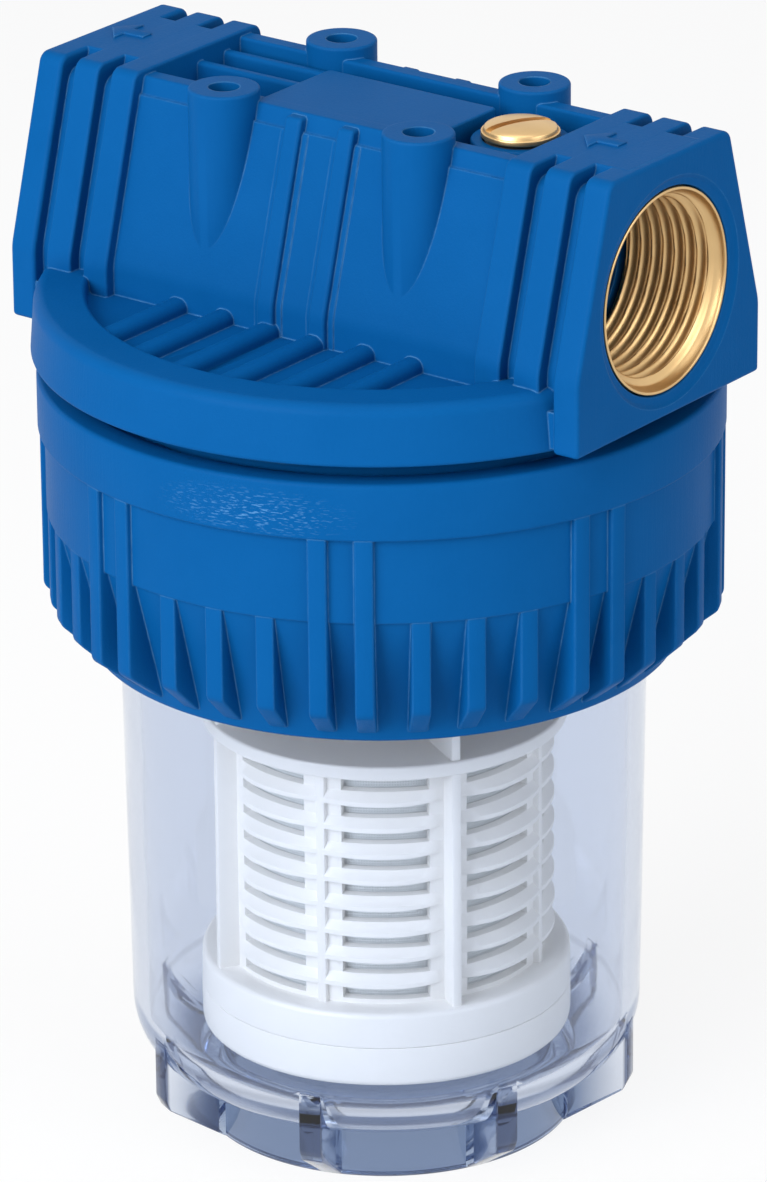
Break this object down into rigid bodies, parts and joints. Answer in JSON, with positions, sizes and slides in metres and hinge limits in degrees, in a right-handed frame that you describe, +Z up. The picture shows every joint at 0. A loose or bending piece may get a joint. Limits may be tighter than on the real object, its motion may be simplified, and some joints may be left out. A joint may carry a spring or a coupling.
{
  "type": "garden pump filter",
  "caption": "Garden pump filter: blue moulded head with brass-threaded side ports and a vent screw, ribbed lock ring, clear bowl and a louvred sieve cartridge inside.",
  "frame": {"origin": "centre of the surface that the bowl's foot stands on, on the bowl's axis", "axes": "+Z up along the bowl's axis, +X along the port axis towards the inlet"},
  "size_m": [0.1204, 0.1202, 0.1893],
  "materials": {
    "blue_plastic": "moulded, finely textured, satin",
    "brass": "turned, bright",
    "clear_plastic": "clear, slightly blue, polished",
    "white_plastic": "moulded, smooth",
    "sieve_cloth": "fine woven sieve cloth",
    "rubber": "moulded, matt"
  },
  "bodies": {
    "bowl": {"bowl": "clear_plastic", "bowl_seal": "rubber", "cartridge_body": "white_plastic", "cartridge_cap": "white_plastic", "mesh_sleeve": "sieve_cloth", "bottom_gasket": "rubber", "top_gasket": "rubber"},
    "lock_ring": {"lock_ring": "blue_plastic"},
    "head": {"head": "blue_plastic", "inlet_insert": "brass", "outlet_insert": "brass"},
    "vent_seal": {"vent_seal": "rubber"},
    "vent_screw": {"vent_screw": "brass"}
  },
  "joints": [
    {"name": "ring_turn", "type": "hinge", "parent": "bowl", "child": "lock_ring", "pos_m": [0, 0, 0.115], "axis": [0, 0, -1], "range_deg": [0, 990]},
    {"name": "head_lift", "type": "slide", "parent": "bowl", "child": "head", "axis": [0, 0, 1], "range_m": [0, 0.0138]},
    {"name": "vent_lift", "type": "slide", "parent": "head", "child": "vent_seal", "axis": [0, 0, 1], "range_m": [0, 0.0023]},
    {"name": "vent_turn", "type": "hinge", "parent": "vent_seal", "child": "vent_screw", "pos_m": [0.0295, 0, 0.1859], "axis": [0, 0, 1], "range_deg": [0, 810]}
  ],
  "couplings": [
    {"joint": "head_lift", "follows": "ring_turn", "m_per_rad": 0.00079577},
    {"joint": "vent_lift", "follows": "vent_turn", "m_per_rad": 0.00015915}
  ]
}
